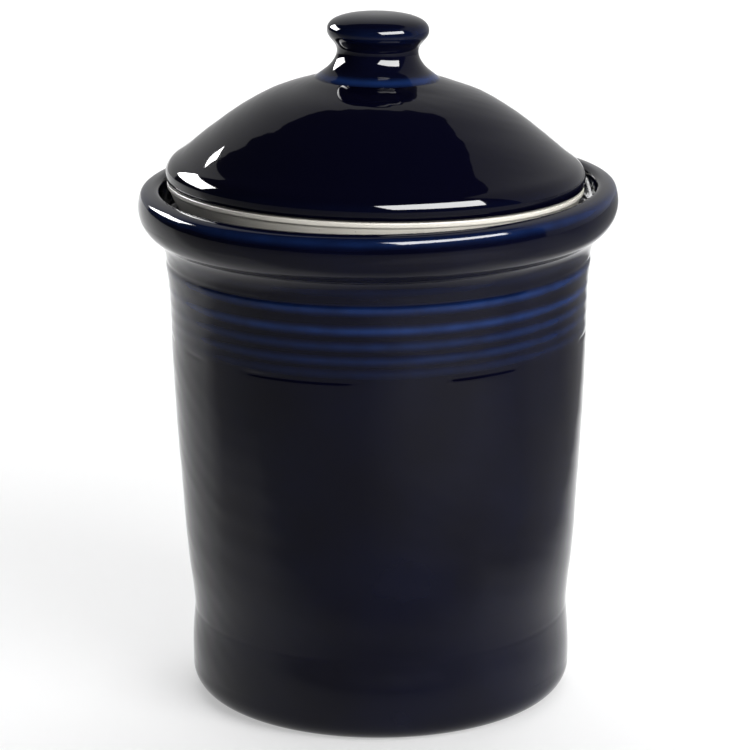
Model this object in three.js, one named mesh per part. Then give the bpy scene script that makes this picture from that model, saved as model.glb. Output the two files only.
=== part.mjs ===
// Glazed stoneware kitchen canister with a domed lid, a mushroom knob and a silicone lid seal.
// Millimetres, +Z up. The origin is the middle of the foot, on the surface that the canister stands on.
// The side that faces the viewer is -Y, with +X to the right.

import * as THREE from 'three';

// Driving sizes of the pot
const potHeight = 201.3;
const rimRadius = 92;
const wall = 5.5;
const floorThickness = 7;

// How far the pot draws in from its rim to its neck, shoulder and waist, and how far its foot band stands out
const rimOverhang = 10.4;
const neckFlare = 1.6;
const bellyTaper = 6.8;
const bandRise = 0.9;
const neckRadius = rimRadius - rimOverhang;
const shoulderRadius = neckRadius - neckFlare;
const waistRadius = shoulderRadius - bellyTaper;
const bandRadius = waistRadius + bandRise;
const boreRadius = neckRadius - wall;

// Heights and small forms of the pot
const shoulderHeight = 141;
const waistHeight = 33;
const bandHeight = 20.5;
const footRounding = 9.4;
const footRecess = 2.2;
const footRingWidth = 5;
const floorRounding = 14;
const lipThickness = 5.2;
const lipRise = 7.6;
const rimRoll = 10.8;
const neckFillet = 2.2;
const mouthRounding = 4;

// Ridges turned into the neck, closer together further down
const ridgeCount = 5;
const ridgeRise = 0.3;
const topRidgeBelowNeck = 11.4;
const topRidgeSpacing = 7.6;
const ridgeSpacingShare = 0.85;

// Sizes of the lid, which leaves a gap inside the rim's lip, with heights counted up from its lower edge
const lidGap = 6.5;
const lidRadius = rimRadius - lipThickness - lidGap;
const domeHeight = 39.4;
const lidEdgeHeight = 4.4;
const lidWall = 5.2;
const edgeHeightAbovePot = 1.3;

// Flange under the lid, with room for the seal between it and the bore, and the bead that keeps the seal on
const sealRoom = 5.1;
const flangeRadius = boreRadius - sealRoom;
const flangeWall = 5;
const flangeDepth = 29;
const beadRise = 1.2;
const beadHeight = 3;

// The lid stands a little askew in the pot, higher at the front and at the left, in degrees
const leanBack = 2;
const leanAside = 1.37;

// Knob, with heights counted up from its foot
const knobFootRadius = 22;
const knobFootEdge = 0.9;
const knobWaistRadius = 15.6;
const knobWaistHeight = 9.2;
const knobRadius = 19.5;
const knobWidestHeight = 16.9;
const knobHeight = 23.8;

// Lid seal, a silicone ring stretched over the flange, with depths counted down from the lid's edge
const sealWall = 2.5;
const sealLipInset = 0.5;
const sealLipRadius = lidRadius - sealLipInset;
const sealLipThickness = 2;
const sealLipDepth = 1.2;
const sealFlareDepth = 17;
const topFinDepth = 18.8;
const finPitch = 4.2;
const finThickness = 1.4;

// Clearances
const seatGap = 0.3;
const finClearance = 0.35;

// Facets round each turned piece
const potFacets = 48;
const knobFacets = 40;

const point = (radius, height) => new THREE.Vector2(radius, height);

// Points along part of an ellipse, with angles in degrees counted from straight outwards to straight up.
// A fullness share under 1 makes the curve squarer.
function arc(centre, radii, fromAngle, toAngle, steps, fullnessShare = 1) {
  const squared = (value) => Math.sign(value) * Math.abs(value) ** fullnessShare;
  const points = [];
  for (let step = 0; step <= steps; step += 1) {
    const angle = THREE.MathUtils.degToRad(fromAngle + ((toAngle - fromAngle) * step) / steps);
    const radius = centre.x + radii.x * squared(Math.cos(angle));
    const height = centre.y + radii.y * squared(Math.sin(angle));
    points.push(point(radius, height));
  }
  return points;
}

// A smooth line through a few chosen points
const smooth = (throughPoints, steps) => new THREE.SplineCurve(throughPoints).getPoints(steps);

// Points between two corners, each placed by its shares of the way from the first to the second
const between = (start, end, shares) =>
  shares.map(([radiusShare, heightShare]) =>
    point(start.x + radiusShare * (end.x - start.x), start.y + heightShare * (end.y - start.y)),
  );

// One turned solid. Its outline runs outwards underneath, up the outside and back down the inside.
function turned(name, outline, facets, material) {
  const apart = outline.filter((here, index) => index === 0 || here.distanceTo(outline[index - 1]) > 0);
  const geometry = new THREE.LatheGeometry(apart, facets);
  geometry.rotateX(Math.PI / 2);
  const mesh = new THREE.Mesh(geometry, material);
  mesh.name = name;
  return mesh;
}

// Pot

const equatorHeight = potHeight - lipRise;
const rollBottom = equatorHeight - rimRoll;
const ledgeHeight = rollBottom + wall;

// The belly's swelling between the waist and the shoulder
const bellyShares = [
  [0.19, 0.14],
  [0.54, 0.42],
  [0.86, 0.76],
];

// One ridge: how far below or above its crest each point lies, and how far out
const ridgeShares = [
  [-0.5, 0],
  [-0.22, 0.7],
  [0, 1],
  [0.22, 0.7],
];

// The foot: a ring that the pot stands on, round a shallow recess
function foot() {
  const ringOuter = bandRadius - footRounding;
  const ringInner = ringOuter - footRingWidth;
  return [
    point(0, footRecess),
    point(ringInner - footRecess, footRecess),
    point(ringInner, 0),
    ...arc(point(ringOuter, footRounding), point(footRounding, footRounding), -90, 0, 6),
  ];
}

function lowerWall() {
  const waist = point(waistRadius, waistHeight);
  const shoulder = point(shoulderRadius, shoulderHeight);
  return smooth(
    [
      point(bandRadius, footRounding),
      point(bandRadius, bandHeight),
      waist,
      ...between(waist, shoulder, bellyShares),
      shoulder,
    ],
    11,
  );
}

// The neck widens slowly up to the rim and carries the ridges, made from the lowest one up
function ridgedNeck() {
  const wideningShare = (height) => ((height - shoulderHeight) / (rollBottom - shoulderHeight)) ** 2;
  const smoothRadius = (height) => shoulderRadius + (neckRadius - shoulderRadius) * wideningShare(height);
  const points = [];
  let crest = rollBottom - topRidgeBelowNeck;
  let spacing = topRidgeSpacing;
  for (let ridge = 0; ridge < ridgeCount; ridge += 1) {
    const ridgePoints = ridgeShares.map(([heightShare, riseShare]) => {
      const height = crest + heightShare * spacing;
      return point(smoothRadius(height) + riseShare * ridgeRise, height);
    });
    points.unshift(...ridgePoints);
    crest -= spacing;
    spacing *= ridgeSpacingShare;
  }
  const topHollow = rollBottom - topRidgeBelowNeck + topRidgeSpacing / 2;
  points.push(point(smoothRadius(topHollow), topHollow));
  return points;
}

// The rolled rim: a hollow fillet on the neck, a round underside, a rounded lip, and inside it the
// ledge over the mouth
function rim() {
  const filletCentre = point(neckRadius + neckFillet, rollBottom - neckFillet);
  const rollCentre = point(rimRadius - rimRoll, equatorHeight);
  const lipCentre = point(rimRadius - lipThickness / 2, equatorHeight);
  const mouthCentre = point(boreRadius + mouthRounding, ledgeHeight - mouthRounding);
  return [
    ...arc(filletCentre, point(neckFillet, neckFillet), 180, 100, 3),
    ...arc(rollCentre, point(rimRoll, rimRoll), -70, 0, 7),
    ...arc(lipCentre, point(lipThickness / 2, lipRise), 20, 180, 8),
    ...arc(rollCentre, point(rimRoll - lipThickness, rimRoll - wall), -20, -90, 4),
    ...arc(mouthCentre, point(mouthRounding, mouthRounding), 90, 180, 4),
  ];
}

function potInside() {
  const cornerCentre = point(bandRadius - wall - floorRounding, floorThickness + floorRounding);
  return [
    point(shoulderRadius - wall, shoulderHeight),
    point(waistRadius - wall, waistHeight),
    ...arc(cornerCentre, point(floorRounding, floorRounding), 0, -90, 5),
    point(0, floorThickness),
  ];
}

function canisterBody(material) {
  const outline = [...foot(), ...lowerWall(), ...ridgedNeck(), ...rim(), ...potInside()];
  return turned('canister_body', outline, potFacets, material);
}

// Lid

const flangeInner = flangeRadius - flangeWall;

// The dome's swelling between its rounded edge and the middle of the pad under the knob
const domeShares = [
  [0.007, 0],
  [0.026, 0.058],
  [0.059, 0.114],
  [0.153, 0.29],
  [0.305, 0.557],
  [0.49, 0.811],
  [0.628, 0.92],
];

function domeOutside() {
  const edgeTop = point(lidRadius, lidEdgeHeight);
  const padMiddle = point(0, domeHeight);
  const padEdge = point(knobFootRadius + seatGap, domeHeight);
  return [...smooth([...between(edgeTop, padMiddle, domeShares), padEdge], 13), padMiddle];
}

// The hollow under the dome, from the middle out to the flange
const domeInside = () => arc(point(0, 0), point(flangeInner, domeHeight - lidWall), 90, 0, 7);

// The flange with its bead at the bottom, from its inner wall round to the flat under the lid's edge
function flange() {
  const beadTop = beadHeight - flangeDepth;
  const beadRadius = flangeRadius + beadRise;
  return [
    point(flangeInner, beadRise - flangeDepth),
    point(flangeInner + beadRise, -flangeDepth),
    point(flangeRadius, -flangeDepth),
    point(beadRadius, beadRise - flangeDepth),
    point(beadRadius, beadTop - beadRise / 2),
    point(flangeRadius, beadTop),
    point(flangeRadius, 0),
  ];
}

function lid(material) {
  const edgeRounding = point(lidEdgeHeight / 4, lidEdgeHeight / 2);
  const edgeCentre = point(lidRadius - edgeRounding.x, edgeRounding.y);
  const edge = arc(edgeCentre, edgeRounding, -90, 40, 4);
  return turned('lid', [...domeInside(), ...flange(), ...edge, ...domeOutside()], potFacets, material);
}

// Knob

// The knob's foot drawn in to its waist, and its head swelling out again
const knobFootShares = [
  [0.2, 0.06],
  [0.5, 0.24],
  [0.8, 0.51],
];
const knobHeadShares = [
  [0.15, 0.27],
  [0.54, 0.53],
  [0.92, 0.8],
];

const crownFullnessShare = 0.85;

function knob(material) {
  const footEdge = point(knobFootRadius, knobFootEdge);
  const waist = point(knobWaistRadius, knobWaistHeight);
  const widest = point(knobRadius, knobWidestHeight);
  const drawnIn = between(footEdge, waist, knobFootShares);
  const swellingOut = between(waist, widest, knobHeadShares);
  const side = smooth([footEdge, ...drawnIn, waist, ...swellingOut, widest], 12);
  const crownRadii = point(knobRadius, knobHeight - knobWidestHeight);
  const crown = arc(point(0, knobWidestHeight), crownRadii, 10, 90, 6, crownFullnessShare);
  return turned('knob', [point(0, 0), point(knobFootRadius, 0), ...side, ...crown], knobFacets, material);
}

// Lid seal

const sealInner = flangeRadius + seatGap;
const sealOuter = sealInner + sealWall;
const sealBottom = beadHeight + seatGap - flangeDepth;
const finMiddle = -topFinDepth - finPitch / 2;

// The fins reach the mouth's bore, less their clearance and how far the lean swings their outer corners
const lean = THREE.MathUtils.degToRad(Math.hypot(leanBack, leanAside));
const finSway = ((finPitch + finThickness) / 2) * Math.sin(lean);
const finRadius = boreRadius - finClearance - finSway;

// The seal's underside, drawn in from its lip to its wall
const sealFlareShares = [
  [0.22, 0.3],
  [0.54, 0.63],
  [0.76, 0.89],
  [1, 1],
];

function sealFins() {
  const points = [];
  for (const finHeight of [-topFinDepth - finPitch, -topFinDepth]) {
    points.push(point(sealOuter, finHeight - finThickness));
    points.push(point(finRadius, finHeight - finThickness / 2));
    points.push(point(finRadius, finHeight));
    points.push(point(sealOuter, finHeight + finThickness / 2));
  }
  return points;
}

function lidSeal(material) {
  const lipRounding = sealLipThickness / 2;
  const lipCentre = point(sealLipRadius - lipRounding, -sealLipDepth - lipRounding);
  const lip = arc(lipCentre, point(lipRounding, lipRounding), -60, 90, 4);
  const flare = smooth([lip[0], ...between(lip[0], point(sealOuter, -sealFlareDepth), sealFlareShares)], 6);
  const start = point(sealInner, sealBottom);
  const outline = [
    start,
    point(sealOuter, sealBottom),
    ...sealFins(),
    ...flare.reverse(),
    ...lip,
    point(sealOuter, -seatGap),
    point(sealInner, -seatGap),
    start,
  ];
  return turned('lid_seal', outline, potFacets, material);
}

// Assembly

const potGlaze = new THREE.MeshStandardMaterial({ color: 0x1a1d38, roughness: 0.12, metalness: 0 });
const lidGlaze = new THREE.MeshStandardMaterial({ color: 0x15173a, roughness: 0.08, metalness: 0 });
const knobGlaze = new THREE.MeshStandardMaterial({ color: 0x171a40, roughness: 0.08, metalness: 0 });
const silicone = new THREE.MeshStandardMaterial({ color: 0xe6e1d2, roughness: 0.5, metalness: 0 });

// The lid leans about the middle of its seal's fins, which stay centred in the pot's mouth
const leaningLid = new THREE.Group();
leaningLid.position.z = potHeight + edgeHeightAbovePot + finMiddle;
leaningLid.rotation.x = THREE.MathUtils.degToRad(-leanBack);
leaningLid.rotation.y = THREE.MathUtils.degToRad(leanAside);

function addToLid(mesh, heightAboveEdge) {
  mesh.position.z = heightAboveEdge - finMiddle;
  leaningLid.add(mesh);
}

addToLid(lid(lidGlaze), 0);
addToLid(lidSeal(silicone), 0);
addToLid(knob(knobGlaze), domeHeight + seatGap);

const canister = new THREE.Group();
canister.add(canisterBody(potGlaze));
canister.add(leaningLid);

export default canister;
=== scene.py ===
"""A glazed kitchen canister with a domed lid and a silicone lid seal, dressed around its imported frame."""

import math

import bpy
import numpy as np
from mathutils import Matrix, Vector


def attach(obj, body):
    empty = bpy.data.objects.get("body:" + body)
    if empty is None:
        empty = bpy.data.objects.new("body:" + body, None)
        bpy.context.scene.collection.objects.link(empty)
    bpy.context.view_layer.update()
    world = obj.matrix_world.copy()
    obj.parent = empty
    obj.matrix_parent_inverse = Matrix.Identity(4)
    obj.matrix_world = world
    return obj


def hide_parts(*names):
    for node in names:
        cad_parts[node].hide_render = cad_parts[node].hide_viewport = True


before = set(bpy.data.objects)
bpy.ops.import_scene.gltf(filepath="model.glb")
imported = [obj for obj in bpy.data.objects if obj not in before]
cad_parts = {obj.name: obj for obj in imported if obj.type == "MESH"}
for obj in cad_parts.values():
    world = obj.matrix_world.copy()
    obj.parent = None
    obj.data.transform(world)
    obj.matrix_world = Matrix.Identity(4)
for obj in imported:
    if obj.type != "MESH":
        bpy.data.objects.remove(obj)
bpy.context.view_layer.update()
MM = 0.001

# Camera, in millimetres and degrees
LENS_MM = 172.8
SENSOR_MM = 36.0
CAMERA_DISTANCE = 1395.7
CAMERA_PITCH = 15.74
CAMERA_ROLL = -0.338
CAMERA_TARGET = (-1.6, 0.0, 124.35)


def make_camera():
    pitch, roll = math.radians(CAMERA_PITCH), math.radians(CAMERA_ROLL)
    ahead = Vector((0, math.cos(pitch), -math.sin(pitch)))
    level = Vector((1, 0, 0))
    upright = Vector((0, math.sin(pitch), math.cos(pitch)))
    right = math.cos(roll) * level + math.sin(roll) * upright
    up = -math.sin(roll) * level + math.cos(roll) * upright
    data = bpy.data.cameras.new("camera")
    data.lens = LENS_MM
    data.sensor_width = SENSOR_MM
    data.clip_start = 0.01
    data.clip_end = 50
    camera = bpy.data.objects.new("camera", data)
    bpy.context.scene.collection.objects.link(camera)
    turn = Matrix((right, up, -ahead)).transposed().to_4x4()
    place = (Vector(CAMERA_TARGET) - CAMERA_DISTANCE * ahead) * MM
    camera.matrix_world = Matrix.Translation(place) @ turn
    bpy.context.scene.camera = camera


make_camera()

# Outlines, as rows of radius and height in millimetres
UP, DOWN = (0, 1), (0, -1)


def arc(centre, radii, start, end, steps, fullness=1.0):
    """Part of an ellipse. Angles count from straight outwards to straight up."""
    turn = np.radians(np.linspace(start, end, steps + 1))

    def squared(value):
        return np.sign(value) * np.abs(value) ** fullness

    across = centre[0] + radii[0] * squared(np.cos(turn))
    upward = centre[1] + radii[1] * squared(np.sin(turn))
    return np.column_stack([across, upward])


def line(start, end, steps):
    share = np.linspace(0, 1, steps + 1)[:, None]
    return np.array(start) + share * (np.array(end) - np.array(start))


def smooth(points, steps, ends=(None, None)):
    """A cubic through the points, with the given directions at its ends or else no bend there."""
    p = np.array(points, float)
    along = np.r_[0, np.cumsum(np.hypot(*np.diff(p, axis=0).T))]
    gap = np.diff(along)
    count = len(p)
    rows, sides = np.zeros((count, count)), np.zeros((count, 2))
    for i in range(1, count - 1):
        rows[i, i - 1 : i + 2] = gap[i - 1], 2 * (gap[i - 1] + gap[i]), gap[i]
        sides[i] = 6 * ((p[i + 1] - p[i]) / gap[i] - (p[i] - p[i - 1]) / gap[i - 1])
    rows[0, 0] = rows[-1, -1] = 1
    if ends[0] is not None:
        rows[0, :2] = 2 * gap[0], gap[0]
        sides[0] = 6 * ((p[1] - p[0]) / gap[0] - np.array(ends[0]))
    if ends[1] is not None:
        rows[-1, -2:] = gap[-1], 2 * gap[-1]
        sides[-1] = 6 * (np.array(ends[1]) - (p[-1] - p[-2]) / gap[-1])
    bend = np.linalg.solve(rows, sides)
    t = np.linspace(0, along[-1], steps + 1)
    i = np.clip(np.searchsorted(along, t, side="right") - 1, 0, count - 2)
    a, b = ((along[i + 1] - t) / gap[i])[:, None], ((t - along[i]) / gap[i])[:, None]
    h = gap[i][:, None] ** 2 / 6
    return a * p[i] + b * p[i + 1] + h * ((a**3 - a) * bend[i] + (b**3 - b) * bend[i + 1])


def bump_at(value, centre, width):
    return np.exp(-(((value - centre) / width) ** 2))


def joined(*parts):
    """One outline of several, without points that repeat."""
    points = np.vstack(parts)
    keep = np.r_[True, np.hypot(*np.diff(points, axis=0).T) > 1e-4]
    return points[keep]


# Pot

RIM_RADIUS = 92.0
EQUATOR = 193.7
NECK_RADIUS = 81.6
BAND_RADIUS = 74.1
WALL = 5.5
RIM_ROLL = 12.0
LEDGE = 188.4
GALLERY_RADIUS = 81.2
NECK_FILLET = 13.0
MOUTH_ROUNDING = 4.0
FOOT_ROUNDING = 9.4
FOOT_RECESS = 2.2
RECESS_ROUNDING = 1.6
FOOT_RING = 5.0
FOOT_EDGE = 0.8
FLOOR_THICKNESS = 7.0
FLOOR_ROUNDING = 14.0
BORE_RADIUS = NECK_RADIUS - WALL

# The rim's upper half, from its widest place over the crest and down inside
LIP_POINTS = [
    (RIM_RADIUS, EQUATOR),
    (91.27, 198.2),
    (90.85, 199.15),
    (89.92, 199.93),
    (88.47, 200.45),
    (87.07, 200.75),
    (85.6, 200.85),
    (84.6, 200.55),
    (83.8, 199.7),
    (83.4, 198.2),
    (83.3, 196.0),
    (83.3, EQUATOR),
]

# The fillet under the rim touches the neck and the roll's underside
FILLET_REACH = RIM_ROLL + NECK_FILLET
FILLET_ASIDE = NECK_RADIUS + NECK_FILLET - (RIM_RADIUS - RIM_ROLL)
FILLET_TURN = math.degrees(math.acos(FILLET_ASIDE / FILLET_REACH))
FILLET_HEIGHT = EQUATOR - math.sqrt(FILLET_REACH**2 - FILLET_ASIDE**2)

# The wall from the foot band over the waist and belly to the neck
WALL_POINTS = [
    (BAND_RADIUS, FOOT_ROUNDING),
    (BAND_RADIUS, 20.5),
    (73.2, 33.0),
    (74.6, 49.0),
    (76.85, 78.0),
    (79.0, 113.0),
    (79.85, 134.0),
    (80.2, 152.0),
    (80.85, 165.0),
    (NECK_RADIUS, FILLET_HEIGHT),
]

# The inside, from the mouth down to the floor's corner
INSIDE_POINTS = [
    (BORE_RADIUS, LEDGE - MOUTH_ROUNDING),
    (74.5, 141.0),
    (67.9, 36.0),
    (68.6, 21.0),
]

# Ridges turned into the neck: height, rise, and how bare the glaze leaves them
RIDGES = [
    (178.3, 0.03, 0.12),
    (171.1, 0.10, 0.85),
    (163.3, 0.11, 0.95),
    (157.3, 0.09, 0.50),
    (151.8, 0.09, 0.40),
    (146.9, 0.05, 0.22),
]
RIDGE_WIDTH = 1.6

# Faint turned grooves: height, depth and width
GROOVES = [(33.0, 0.06, 1.0), (173.1, 0.22, 0.9)]


def pot_outline():
    ring_outer = BAND_RADIUS - FOOT_ROUNDING
    ring_inner = ring_outer - FOOT_RING
    recess = ring_inner - FOOT_RECESS
    fillet = (NECK_RADIUS + NECK_FILLET, FILLET_HEIGHT)
    wall = joined(
        smooth(WALL_POINTS, 400, (UP, UP)),
        arc(fillet, (NECK_FILLET, NECK_FILLET), 180, 180 - FILLET_TURN, 36),
    )
    for height, rise, _ in RIDGES:
        wall[:, 0] += rise * bump_at(wall[:, 1], height, RIDGE_WIDTH)
    for height, depth, width in GROOVES:
        wall[:, 0] -= depth * bump_at(wall[:, 1], height, width)
    roll = (RIM_RADIUS - RIM_ROLL, EQUATOR)
    gallery = (GALLERY_RADIUS, EQUATOR)
    hollow = (LIP_POINTS[-1][0] - GALLERY_RADIUS, EQUATOR - LEDGE)
    mouth = (BORE_RADIUS + MOUTH_ROUNDING, LEDGE - MOUTH_ROUNDING)
    corner = (BAND_RADIUS - WALL - FLOOR_ROUNDING, FLOOR_THICKNESS + FLOOR_ROUNDING)
    return joined(
        line((0, FOOT_RECESS), (recess, FOOT_RECESS), 6),
        arc((recess, FOOT_RECESS - RECESS_ROUNDING), (RECESS_ROUNDING, RECESS_ROUNDING), 90, 45, 4),
        arc((ring_inner + FOOT_EDGE, FOOT_EDGE), (FOOT_EDGE, FOOT_EDGE), 225, 270, 4),
        line((ring_inner + FOOT_EDGE, 0), (ring_outer, 0), 4),
        arc((ring_outer, FOOT_ROUNDING), (FOOT_ROUNDING, FOOT_ROUNDING), -90, 0, 16),
        wall,
        arc(roll, (RIM_ROLL, RIM_ROLL), -FILLET_TURN, 0, 26),
        smooth(LIP_POINTS, 70, (UP, DOWN)),
        arc(gallery, hollow, 0, -90, 10),
        arc(mouth, (MOUTH_ROUNDING, MOUTH_ROUNDING), 90, 180, 10),
        smooth(INSIDE_POINTS, 30),
        arc(corner, (FLOOR_ROUNDING, FLOOR_ROUNDING), 0, -90, 12),
        line((corner[0], FLOOR_THICKNESS), (0, FLOOR_THICKNESS), 6),
    )


# Lid, with heights counted up from its lower edge

LID_RADIUS = 80.3
DOME_HEIGHT = 39.4
LID_WALL = 5.2
FLANGE_RADIUS = 71.0
FLANGE_INNER = 66.0
FLANGE_DEPTH = 29.0
BEAD_RISE = 1.2
BEAD_HEIGHT = 3.0
FLANGE_FILLET = 0.6
LID_UNDER = -1.5
EDGE_ROUNDING = 1.2
EDGE_RISE = 0.9
PAD_RADIUS = 19.5
PAD_HEIGHT = 39.0

DOME_POINTS = [
    (LID_RADIUS, EDGE_RISE),
    (LID_RADIUS, 2.7),
    (79.75, 4.3),
    (78.3, 6.35),
    (75.56, 8.5),
    (68.0, 14.55),
    (55.8, 23.9),
    (40.95, 32.6),
    (29.9, 36.55),
    (24.6, 38.2),
    (20.5, 39.3),
]


def lid_outline():
    bead = FLANGE_RADIUS + BEAD_RISE
    bottom = BEAD_RISE - FLANGE_DEPTH
    bead_top = BEAD_HEIGHT - FLANGE_DEPTH
    fillet = (FLANGE_RADIUS + FLANGE_FILLET, LID_UNDER - FLANGE_FILLET)
    edge = (LID_RADIUS - EDGE_ROUNDING, EDGE_RISE)
    return joined(
        arc((0, 0), (FLANGE_INNER, DOME_HEIGHT - LID_WALL), 90, 0, 26),
        line((FLANGE_INNER, 0), (FLANGE_INNER, bottom), 8),
        arc((FLANGE_INNER + BEAD_RISE, bottom), (BEAD_RISE, BEAD_RISE), 180, 270, 5),
        arc((FLANGE_RADIUS, bottom), (BEAD_RISE, BEAD_RISE), -90, 0, 6),
        smooth([(bead, bottom), (bead, bead_top - BEAD_RISE / 2), (FLANGE_RADIUS, bead_top)], 6),
        line((FLANGE_RADIUS, bead_top), (FLANGE_RADIUS, fillet[1]), 8),
        arc(fillet, (FLANGE_FILLET, FLANGE_FILLET), 180, 90, 4),
        line((fillet[0], LID_UNDER), (edge[0], LID_UNDER), 4),
        arc(edge, (EDGE_ROUNDING, EDGE_RISE - LID_UNDER), -90, 0, 12),
        smooth(DOME_POINTS, 110, (UP, None)),
        line(DOME_POINTS[-1], (PAD_RADIUS, PAD_HEIGHT), 1),
        line((PAD_RADIUS, PAD_HEIGHT), (0, PAD_HEIGHT), 3),
    )


# Knob, with heights counted up from its seat on the lid

KNOB_SEAT = DOME_HEIGHT - 0.1
KNOB_RADIUS = 19.5
KNOB_EQUATOR = 17.1
CROWN_RISE = 6.7
CROWN_FULLNESS = 0.8
KNOB_SUNK = -2.2

# Its foot runs out in a thin edge over the lid
KNOB_POINTS = [
    (24.8, -1.45),
    (23.8, -0.75),
    (22.9, -0.05),
    (21.9, 0.70),
    (20.7, 1.60),
    (19.1, 2.90),
    (17.2, 5.10),
    (15.6, 9.20),
    (16.0, 11.3),
    (17.4, 13.3),
    (18.9, 15.2),
    (KNOB_RADIUS, KNOB_EQUATOR),
]


def knob_outline():
    foot = KNOB_POINTS[0][0]
    return joined(
        line((0, KNOB_SUNK), (foot, KNOB_SUNK), 4),
        line((foot, KNOB_SUNK), KNOB_POINTS[0], 2),
        smooth(KNOB_POINTS, 70, (None, UP)),
        arc((0, KNOB_EQUATOR), (KNOB_RADIUS, CROWN_RISE), 0, 90, 40, CROWN_FULLNESS),
    )


# Seal, with heights counted up from the lid's lower edge

SEAL_INNER = 71.3
SEAL_OUTER = 73.8
SEAL_BOTTOM = -25.7
SEAL_TOP = -1.75
SEAL_CORNER = 0.4
FIN_HEIGHTS = (-23.0, -18.8)
FIN_THICKNESS = 1.4
FIN_ROOT = 74.4
FIN_TIP = (74.35, -0.35)
FIN_TIP_RADII = (0.35, 0.4)
FIN_UNDER, FIN_OVER = -0.75, 0.05
SEAL_LIP_RADIUS = 79.8
SEAL_LIP_ROUNDING = 0.8
SEAL_LIP_HEIGHT = -3.2
SEAL_FACE = (-3.1, -2.25)
SEAL_LIP_TOP = (79.3, -1.85)

# The seal's wall, widening from over the fins up to its lip
FLARE_POINTS = [
    (SEAL_OUTER, -17.0),
    (73.9, -15.2),
    (75.2, -12.2),
    (77.2, -8.4),
    (78.6, -5.2),
    (79.0, -4.0),
]


def seal_outline():
    corner = (SEAL_OUTER - SEAL_CORNER, SEAL_BOTTOM + SEAL_CORNER)
    lip = (SEAL_LIP_RADIUS - SEAL_LIP_ROUNDING, SEAL_LIP_HEIGHT)
    fins = []
    for height in FIN_HEIGHTS:
        fins.append(line((SEAL_OUTER, height - FIN_THICKNESS), (FIN_ROOT, height + FIN_UNDER), 3))
        fins.append(arc((FIN_TIP[0], height + FIN_TIP[1]), FIN_TIP_RADII, -70, 70, 5))
        fins.append(line((FIN_ROOT, height + FIN_OVER), (SEAL_OUTER, height + FIN_THICKNESS / 2), 3))
    return joined(
        line((SEAL_INNER, SEAL_BOTTOM), (corner[0], SEAL_BOTTOM), 2),
        arc(corner, (SEAL_CORNER, SEAL_CORNER), -90, 0, 3),
        *fins,
        smooth(FLARE_POINTS, 24, (UP, None)),
        arc(lip, (SEAL_LIP_ROUNDING, SEAL_LIP_ROUNDING), -60, 0, 5),
        line((SEAL_LIP_RADIUS, SEAL_FACE[0]), (SEAL_LIP_RADIUS, SEAL_FACE[1]), 3),
        arc((SEAL_LIP_RADIUS - SEAL_CORNER, SEAL_FACE[1]), (SEAL_CORNER, SEAL_CORNER), 0, 90, 4),
        line(SEAL_LIP_TOP, (SEAL_OUTER, SEAL_TOP), 5),
        line((SEAL_OUTER, SEAL_TOP), (SEAL_INNER, SEAL_TOP), 2),
        line((SEAL_INNER, SEAL_TOP), (SEAL_INNER, SEAL_BOTTOM), 8),
    )


# Turned meshes


def waves(seed, count, across, along, size):
    """A slow random unevenness over the angle round a piece and the distance along its outline."""
    pick = np.random.default_rng(seed)
    terms = []
    for _ in range(count):
        rounds = pick.integers(across[0], across[1] + 1)
        length = pick.uniform(*along)
        terms.append((rounds, 2 * math.pi / length, pick.uniform(0, 2 * math.pi), pick.normal() * length))
    total = math.sqrt(sum(term[3] ** 2 for term in terms) / 2)

    def height(angle, distance):
        out = np.zeros(np.broadcast(angle, distance).shape)
        for rounds, pace, start, weight in terms:
            out += weight * np.sin(rounds * angle + pace * distance + start)
        return size * out / total

    return height


def turned(name, outline, facets, closed, uneven=None, masks=None):
    """A turned piece. Its outline runs outwards underneath, up the outside and back inside.
    A closed outline is a ring's, and any other one starts and ends on the axis."""
    distance = np.r_[0, np.cumsum(np.hypot(*np.diff(outline, axis=0).T))]
    slope = np.gradient(outline, axis=0)
    slope /= np.hypot(*slope.T)[:, None]
    outward = np.column_stack([slope[:, 1], -slope[:, 0]])
    rings = outline[:-1] if closed else outline[1:-1]
    first = 0 if closed else 1
    angle = np.linspace(0, 2 * math.pi, facets, endpoint=False)
    r = np.repeat(rings[:, :1], facets, axis=1)
    z = np.repeat(rings[:, 1:], facets, axis=1)
    d = distance[first : first + len(rings)][:, None]
    out = outward[first : first + len(rings)]
    if uneven is not None:
        lift = uneven(angle[None, :], d, rings[:, :1], rings[:, 1:])
        r = r + lift * out[:, :1]
        z = z + lift * out[:, 1:]
    verts = np.stack([r * np.cos(angle), r * np.sin(angle), z], -1).reshape(-1, 3) * MM
    faces = []
    count = len(rings)
    spans = count if closed else count - 1
    for i in range(spans):
        low, high = i * facets, ((i + 1) % count) * facets
        for j in range(facets):
            k = (j + 1) % facets
            faces.append((low + j, low + k, high + k, high + j))
    if not closed:
        poles = [(0, 0, outline[0, 1] * MM), (0, 0, outline[-1, 1] * MM)]
        bottom, top = len(verts), len(verts) + 1
        verts = np.vstack([verts, poles])
        last = (count - 1) * facets
        for j in range(facets):
            k = (j + 1) % facets
            faces.append((bottom, k, j))
            faces.append((top, last + j, last + k))
    mesh = bpy.data.meshes.new(name)
    mesh.from_pydata(verts.tolist(), [], faces)
    mesh.polygons.foreach_set("use_smooth", [True] * len(mesh.polygons))
    for mask, function in (masks or {}).items():
        values = function(angle[None, :], d, rings[:, :1], rings[:, 1:])
        values = np.broadcast_to(values, (count, facets)).reshape(-1)
        if not closed:
            values = np.r_[values, 0, 0]
        layer = mesh.attributes.new(mask, "FLOAT", "POINT")
        layer.data.foreach_set("value", np.clip(values, 0, 1).astype(np.float32))
    mesh.validate()
    piece = bpy.data.objects.new(name, mesh)
    bpy.context.scene.collection.objects.link(piece)
    return piece


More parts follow.
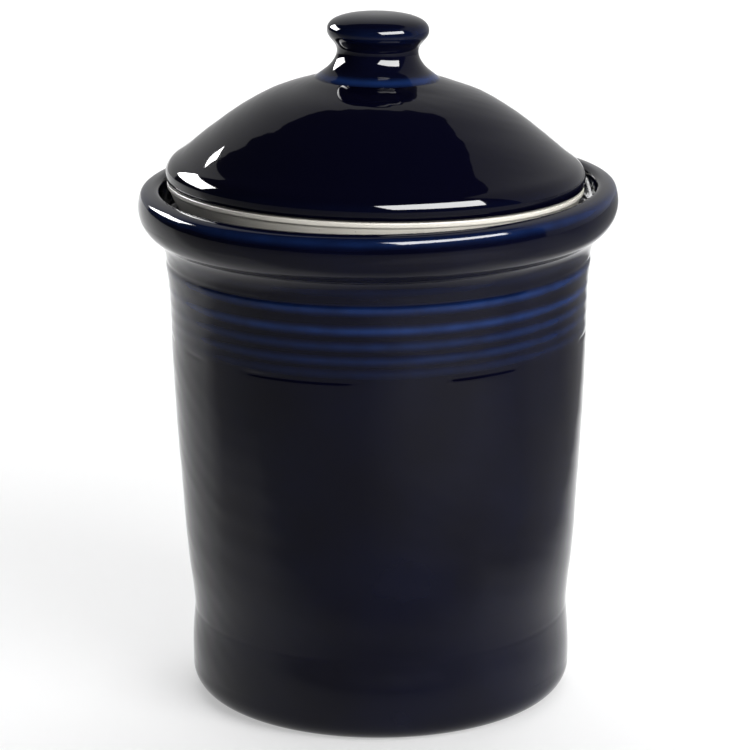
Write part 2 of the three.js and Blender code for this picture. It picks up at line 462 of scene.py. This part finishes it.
# The outline's outer side, told from the rest by height, radius and distance along it in millimetres
POT_OUTER_LENGTH = 265
POT_OUTER_LOW = 12
LID_OUTER_START = 150
LID_OUTER_LOW = 8
LID_INNER_RADIUS = 22

# The ridges are bare on the neck's outer side alone
BARE_WIDTH = 1.35
NECK_INNER, NECK_TOP = 79, 182

# More places where the glaze has run thin: height, width, how bare, and the radius beyond which it shows
CREST_BARE = (198.6, 1.4, 0.5, 88)
LID_EDGE_BARE = (3.0, 1.6, 0.04, 79)
KNOB_FOOT_BARE = (0.4, 1.0, 0.9, 18)
KNOB_EDGE_BARE = (17.5, 2.4, 0.18, 18)

# A groove under the lowest ridge that comes and goes: height, width, mean depth and greatest depth
BROKEN_GROOVE = (143.7, 0.9, 0.1, 0.25)

pot_sway = waves(3, 26, (2, 9), (9.0, 40.0), 0.035)
pot_grain = waves(4, 30, (8, 40), (5.0, 14.0), 0.008)
pot_marks = waves(3623, 16, (5, 16), (9.0, 40.0), 0.4)


def pot_uneven(angle, distance, radius, height):
    outside = (distance < POT_OUTER_LENGTH) & (height > POT_OUTER_LOW)
    at, width, mean, deepest = BROKEN_GROOVE
    marks = np.clip(mean + pot_marks(angle, 0.0), 0, deepest) * bump_at(height, at, width)
    return np.where(outside, pot_sway(angle, distance) + pot_grain(angle, distance) - marks, 0)


def bare_band(band, radius, height):
    at, width, bare, beyond = band
    return bare * bump_at(height, at, width) * (radius > beyond)


def pot_bare(angle, distance, radius, height):
    ridges = sum(bare * bump_at(height, at, BARE_WIDTH) for at, _, bare in RIDGES)
    ridges = ridges * (radius > NECK_INNER) * (height < NECK_TOP)
    return ridges + bare_band(CREST_BARE, radius, height)


lid_sway = waves(7, 30, (1, 10), (7.0, 30.0), 0.03)
lid_grain = waves(8, 30, (8, 46), (4.0, 10.0), 0.007)


def lid_uneven(angle, distance, radius, height):
    outside = (height > LID_OUTER_LOW) & (radius > LID_INNER_RADIUS) & (distance > LID_OUTER_START)
    return np.where(outside, lid_sway(angle, distance) + lid_grain(angle, distance), 0)


def lid_bare(angle, distance, radius, height):
    return bare_band(LID_EDGE_BARE, radius, height)


def knob_bare(angle, distance, radius, height):
    return bare_band(KNOB_FOOT_BARE, radius, height) + bare_band(KNOB_EDGE_BARE, radius, height)


pot = turned("pot_shell", pot_outline(), 288, False, pot_uneven, {"bare": pot_bare})
lid = turned("lid_dome", lid_outline(), 256, False, lid_uneven, {"bare": lid_bare})
knob = turned("knob_mushroom", knob_outline(), 128, False, None, {"bare": knob_bare})
seal = turned("seal_ring", seal_outline(), 256, True)

# Every piece is a shade narrower than its outline, and the pot's upper half is a little out of level
NARROWED = 0.9971
WARP = 0.0072
WARP_START, WARP_END = 60.0, 150.0

for piece in (pot, lid, knob, seal):
    piece.data.transform(Matrix.Diagonal((NARROWED, NARROWED, 1, 1)))

places = np.empty(3 * len(pot.data.vertices))
pot.data.vertices.foreach_get("co", places)
places = places.reshape(-1, 3)
share = np.clip((places[:, 2] / MM - WARP_START) / (WARP_END - WARP_START), 0, 1)
places[:, 2] += WARP * places[:, 0] * share**2 * (3 - 2 * share)
pot.data.vertices.foreach_set("co", places.reshape(-1))

# The lid's pieces lean together about the middle of the seal's fins
LEAN_BACK = 1.77
LEAN_ASIDE = 1.22
FIN_MIDDLE = -20.9
EDGE_HEIGHT = 202.8
LID_ASIDE = -1.34

lean = (
    Matrix.Translation((LID_ASIDE * MM, 0, (EDGE_HEIGHT + FIN_MIDDLE) * MM))
    @ Matrix.Rotation(math.radians(-LEAN_BACK), 4, "X")
    @ Matrix.Rotation(math.radians(LEAN_ASIDE), 4, "Y")
)
for piece, lift in ((lid, 0), (seal, 0), (knob, KNOB_SEAT)):
    piece.data.transform(lean @ Matrix.Translation((0, 0, (lift - FIN_MIDDLE) * MM)))

# Materials


def material(name, **values):
    made = bpy.data.materials.new(name)
    made.use_nodes = True
    shader = made.node_tree.nodes["Principled BSDF"]
    for socket, value in values.items():
        shader.inputs[socket.replace("_", " ")].default_value = value
    return made, made.node_tree, shader


def node(tree, kind, **inputs):
    made = tree.nodes.new(kind)
    for socket, value in inputs.items():
        made.inputs[socket].default_value = value
    return made


def noise(tree, where, scale, detail=3.0, roughness=0.5):
    made = node(tree, "ShaderNodeTexNoise", Scale=scale, Detail=detail, Roughness=roughness)
    tree.links.new(where, made.inputs["Vector"])
    return made.outputs["Fac"]


def ramp(tree, value, stops):
    """Grey levels along a value."""
    made = tree.nodes.new("ShaderNodeValToRGB")
    spots = made.color_ramp.elements
    while len(spots) < len(stops):
        spots.new(0.5)
    for spot, (place, level) in zip(spots, stops):
        spot.position = place
        spot.color = (level, level, level, 1)
    tree.links.new(value, made.inputs["Fac"])
    return made.outputs["Color"]


def maths(tree, operation, *values):
    made = tree.nodes.new("ShaderNodeMath")
    made.operation = operation
    for i, value in enumerate(values):
        if isinstance(value, (int, float)):
            made.inputs[i].default_value = value
        else:
            tree.links.new(value, made.inputs[i])
    return made.outputs[0]


def mix(tree, share, first, second):
    made = tree.nodes.new("ShaderNodeMix")
    made.data_type = "RGBA"
    sockets = [made.inputs[0], made.inputs[6], made.inputs[7]]
    for socket, value in zip(sockets, (share, first, second)):
        if isinstance(value, tuple):
            socket.default_value = (*value, 1)
        elif isinstance(value, (int, float)):
            socket.default_value = value
        else:
            tree.links.new(value, socket)
    return made.outputs[2]


DEEP_NAVY = (0.0011, 0.0011, 0.0060)
LIGHT_NAVY = (0.0020, 0.0026, 0.0120)
BARE_BLUE = (0.008, 0.028, 0.120)
SPECK = (0.30, 0.30, 0.32)
CREAM = (0.87, 0.835, 0.745)
CREAM_SHADED = (0.81, 0.77, 0.68)
DUST = (0.18, 0.13, 0.09)
GLAZE_IOR = 1.27
SILICONE_IOR = 1.42
SILICONE_ROUGHNESS = 0.42
POT_ROUGHNESS, LID_ROUGHNESS = 0.07, 0.04


def glaze(name, deep, light, roughness):
    """A deep blue glaze that runs thin and lighter over edges, with pinholes and a slight orange peel."""
    made, tree, shader = material(name, Roughness=roughness, IOR=GLAZE_IOR)
    where = tree.nodes.new("ShaderNodeTexCoord").outputs["Object"]
    cloud = ramp(tree, noise(tree, where, 24, 4), [(0.35, 0.0), (0.7, 1.0)])
    body = mix(tree, cloud, deep, light)
    thin = node(tree, "ShaderNodeAttribute")
    thin.attribute_name = "bare"
    streak = ramp(tree, noise(tree, where, 90, 3), [(0.3, 0.55), (0.75, 1.0)])
    body = mix(tree, maths(tree, "MULTIPLY", thin.outputs["Fac"], streak), body, BARE_BLUE)
    cells = tree.nodes.new("ShaderNodeTexVoronoi")
    cells.inputs["Scale"].default_value = 42
    tree.links.new(where, cells.inputs["Vector"])
    few = maths(tree, "GREATER_THAN", noise(tree, where, 31, 1), 0.66)
    dot = maths(tree, "MULTIPLY", maths(tree, "LESS_THAN", cells.outputs["Distance"], 0.022), few)
    body = mix(tree, dot, body, SPECK)
    tree.links.new(body, shader.inputs["Base Color"])
    peel = node(tree, "ShaderNodeBump", Strength=0.25, Distance=0.00002)
    tree.links.new(noise(tree, where, 420, 2), peel.inputs["Height"])
    tree.links.new(peel.outputs["Normal"], shader.inputs["Normal"])
    return made


def silicone(name):
    made, tree, shader = material(name, Roughness=SILICONE_ROUGHNESS, IOR=SILICONE_IOR)
    where = tree.nodes.new("ShaderNodeTexCoord").outputs["Object"]
    cloud = ramp(tree, noise(tree, where, 35, 4), [(0.35, 0.0), (0.7, 1.0)])
    body = mix(tree, cloud, CREAM, CREAM_SHADED)
    dust = maths(tree, "GREATER_THAN", noise(tree, where, 900, 1), 0.79)
    body = mix(tree, maths(tree, "MULTIPLY", dust, 0.6), body, DUST)
    tree.links.new(body, shader.inputs["Base Color"])
    grain = node(tree, "ShaderNodeBump", Strength=0.3, Distance=0.00004)
    tree.links.new(noise(tree, where, 700, 3), grain.inputs["Height"])
    tree.links.new(grain.outputs["Normal"], shader.inputs["Normal"])
    return made


pot.data.materials.append(glaze("pot_glaze", DEEP_NAVY, LIGHT_NAVY, POT_ROUGHNESS))
lid.data.materials.append(glaze("lid_glaze", DEEP_NAVY, DEEP_NAVY, LID_ROUGHNESS))
knob.data.materials.append(glaze("knob_glaze", DEEP_NAVY, LIGHT_NAVY, LID_ROUGHNESS))
seal.data.materials.append(silicone("seal_silicone"))

for piece, cad_node, body, slot in (
    (pot, "canister_body", "pot", "pot_glaze"),
    (lid, "lid", "lid", "lid_glaze"),
    (knob, "knob", "lid", "knob_glaze"),
    (seal, "lid_seal", "lid", "seal_silicone"),
):
    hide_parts(cad_node)
    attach(piece, body)

# Studio: a pale floor, a wall behind it that turns to the right, two softboxes, a fill and a lamp above

AIM = Vector((0, 0, 0.17))
WALL_COLOUR, WALL_SHADE = 0.8, 0.57
SOFTBOX_DISTANCE, SHINE_DISTANCE = 1.3, 1.27
SHINE = 50.0
ROOM_COLOUR = (0.03, 0.03, 0.035, 1)


def plain(name, colour):
    made, tree, shader = material(name, Roughness=0.9)
    shader.inputs["Base Color"].default_value = (colour, colour, colour, 1)
    shader.inputs["Specular IOR Level"].default_value = 0
    return made, tree, shader


def sheet_of(name, points, faces, look):
    mesh = bpy.data.meshes.new(name)
    mesh.from_pydata(points, [], faces)
    made = bpy.data.objects.new(name, mesh)
    mesh.materials.append(look)
    bpy.context.scene.collection.objects.link(made)
    return made


def share_seen(tree, shader, even, share):
    """Give the camera, gloss and glass a share of an even shade in place of the lit surface."""
    path = tree.nodes.new("ShaderNodeLightPath")
    seen = maths(tree, "MAXIMUM", path.outputs["Is Camera Ray"], path.outputs["Is Glossy Ray"])
    seen = maths(tree, "MAXIMUM", seen, path.outputs["Is Transmission Ray"])
    choice = tree.nodes.new("ShaderNodeMixShader")
    tree.links.new(maths(tree, "MULTIPLY", seen, share), choice.inputs[0])
    tree.links.new(shader.outputs[0], choice.inputs[1])
    tree.links.new(even.outputs[0], choice.inputs[2])
    tree.links.new(choice.outputs[0], tree.nodes["Material Output"].inputs["Surface"])


# A pale table, white along the strip that the camera's view looks over, with painted shade outside it,
# painted darker shade far to the right, and a painted pool of light at its front
# where the right-hand softbox falls
STRIP_LEFT, LEFT_SPREAD = -0.15, 2.5
STRIP_RIGHT, RIGHT_SPREAD = 0.15, 0.1
STRIP_FRONT = -0.09
STRIP_FADE, LEFT_SOFTENED = 0.07, 0.3
PAINTED_SHADE_FRONT, PAINTED_SHADE_FADE = -0.02, 0.2
PAINTED_POOL_PLACE, PAINTED_POOL_REACH = (0.27, -0.4, 0), 0.4
PAINTED_POOL_STOPS = [(0.4, 1), (0.85, 0)]
# Grey levels of the white strip, the table's painted shade, the painted darker shade and the painted pool
# of light
STRIP_SHADE, TABLE_PAINTED_SHADE, PAINTED_SHADE_LEVEL, PAINTED_POOL_SHADE = 0.95, 0.5, 0.28, 0.85
EVEN_SHARE = 0.45


# The floor's material: white along the strip, with painted shade and a painted pool of light that the glaze
# reflects
def table_with_painted_light(name):
    made, tree, shader = plain(name, STRIP_SHADE)
    where = tree.nodes.new("ShaderNodeSeparateXYZ")
    place = tree.nodes.new("ShaderNodeTexCoord").outputs["Object"]
    tree.links.new(place, where.inputs[0])
    x, y = where.outputs["X"], where.outputs["Y"]
    right = maths(tree, "SUBTRACT", x, maths(tree, "MULTIPLY_ADD", y, RIGHT_SPREAD, STRIP_RIGHT))
    inward = maths(tree, "MAXIMUM", y, 0.0)
    left = maths(tree, "SUBTRACT", maths(tree, "MULTIPLY_ADD", inward, -LEFT_SPREAD, STRIP_LEFT), x)
    left = maths(tree, "MULTIPLY", left, LEFT_SOFTENED)
    before = maths(tree, "SUBTRACT", STRIP_FRONT, y)
    outside = maths(tree, "MAXIMUM", maths(tree, "MAXIMUM", left, right), before)
    outside = ramp(tree, maths(tree, "DIVIDE", outside, STRIP_FADE), [(0, 0), (1, 1)])
    # Painted shade: the table darker behind and to the right of the strip
    behind = maths(tree, "DIVIDE", maths(tree, "SUBTRACT", y, PAINTED_SHADE_FRONT), PAINTED_SHADE_FADE)
    painted_shade = maths(tree, "MINIMUM", behind, maths(tree, "DIVIDE", right, STRIP_FADE))
    painted_table = ramp(tree, painted_shade, [(0, TABLE_PAINTED_SHADE), (1, PAINTED_SHADE_LEVEL)])
    # A painted pool of light on the table's front right, where the right-hand softbox falls
    away = tree.nodes.new("ShaderNodeVectorMath")
    away.operation = "DISTANCE"
    away.inputs[1].default_value = PAINTED_POOL_PLACE
    tree.links.new(place, away.inputs[0])
    away = maths(tree, "DIVIDE", away.outputs["Value"], PAINTED_POOL_REACH)
    painted_pool, strip = (PAINTED_POOL_SHADE, PAINTED_POOL_SHADE, PAINTED_POOL_SHADE), (STRIP_SHADE, STRIP_SHADE, STRIP_SHADE)
    painted_table = mix(tree, ramp(tree, away, PAINTED_POOL_STOPS), painted_table, painted_pool)
    shade = mix(tree, outside, strip, painted_table)
    tree.links.new(shade, shader.inputs["Base Color"])
    even = tree.nodes.new("ShaderNodeEmission")
    tree.links.new(shade, even.inputs["Color"])
    share_seen(tree, shader, even, EVEN_SHARE)
    return made


def floor(left, right, front, back):
    corners = [(left, front, 0), (right, front, 0), (right, back, 0), (left, back, 0)]
    sheet_of("floor", corners, [(0, 1, 2, 3)], table_with_painted_light("floor_painted_light"))


def backdrop(name, colour, shade):
    """A wall that shows one even shade to the camera, in gloss and in glass, however it is lit."""
    made, tree, shader = plain(name, colour)
    even = node(tree, "ShaderNodeEmission", Color=(shade, shade, shade, 1))
    share_seen(tree, shader, even, 1.0)
    return made


def wall(left, right, front, back, corner, height):
    """The wall behind, with a round corner into its right-hand side."""
    turn = np.radians(np.linspace(90, 0, 13))
    path = [(left, back)]
    path += [(right - corner + corner * math.cos(a), back - corner + corner * math.sin(a)) for a in turn]
    path.append((right, front))
    points = [(x, y, z) for x, y in path for z in (0, height)]
    faces = [(2 * i, 2 * i + 1, 2 * i + 3, 2 * i + 2) for i in range(len(path) - 1)]
    sheet_of("wall", points, faces, backdrop("wall_grey", WALL_COLOUR, WALL_SHADE))


def placed(azimuth, elevation, distance):
    a, e = math.radians(azimuth), math.radians(elevation)
    way = Vector((math.sin(a) * math.cos(e), -math.cos(a) * math.cos(e), math.sin(e)))
    return AIM + distance * way


def lamp(name, place, aim, size, radiance, **seen):
    """An area lamp of a given radiance, which shows only to the rays that its settings leave it."""
    data = bpy.data.lights.new(name, "AREA")
    data.shape = "RECTANGLE"
    data.size, data.size_y = size
    data.energy = radiance * math.pi * size[0] * size[1]
    made = bpy.data.objects.new(name, data)
    made.location = place
    made.rotation_euler = (aim - made.location).to_track_quat("-Z", "Y").to_euler()
    for setting, value in seen.items():
        setattr(made, f"visible_{setting}", value)
    bpy.context.scene.collection.objects.link(made)


def softbox(name, azimuth, elevation, size, light):
    """A lamp that lights the object, and just before it the bright face that the glaze mirrors."""
    place = placed(azimuth, elevation, SOFTBOX_DISTANCE)
    face = placed(azimuth, elevation, SHINE_DISTANCE)
    lamp(f"{name}_light", place, AIM, size, light, glossy=False, transmission=False)
    lamp(f"{name}_shine", face, AIM, size, SHINE, diffuse=False, transmission=False)


floor(-3.0, 2.7, -3.0, 2.6)
wall(-2.17, 2.1, -0.25, 2.6, 1.48, 3.7)
softbox("left", -124, 22, (0.76, 0.42), 1.2)
softbox("right", 36, 37, (1.2, 0.62), 3.6)
lamp("fill", placed(42, 17, 1.6), AIM, (1.0, 0.6), 9.6, glossy=False)
lamp("over", Vector((0.1, 1.6, 2.3)), Vector((0.1, 2.0, 0)), (3.0, 1.6), 5.3, glossy=False)

world = bpy.data.worlds.new("room")
world.use_nodes = True
world.node_tree.nodes["Background"].inputs["Color"].default_value = ROOM_COLOUR
bpy.context.scene.world = world

bpy.context.scene.view_settings.view_transform = "Standard"
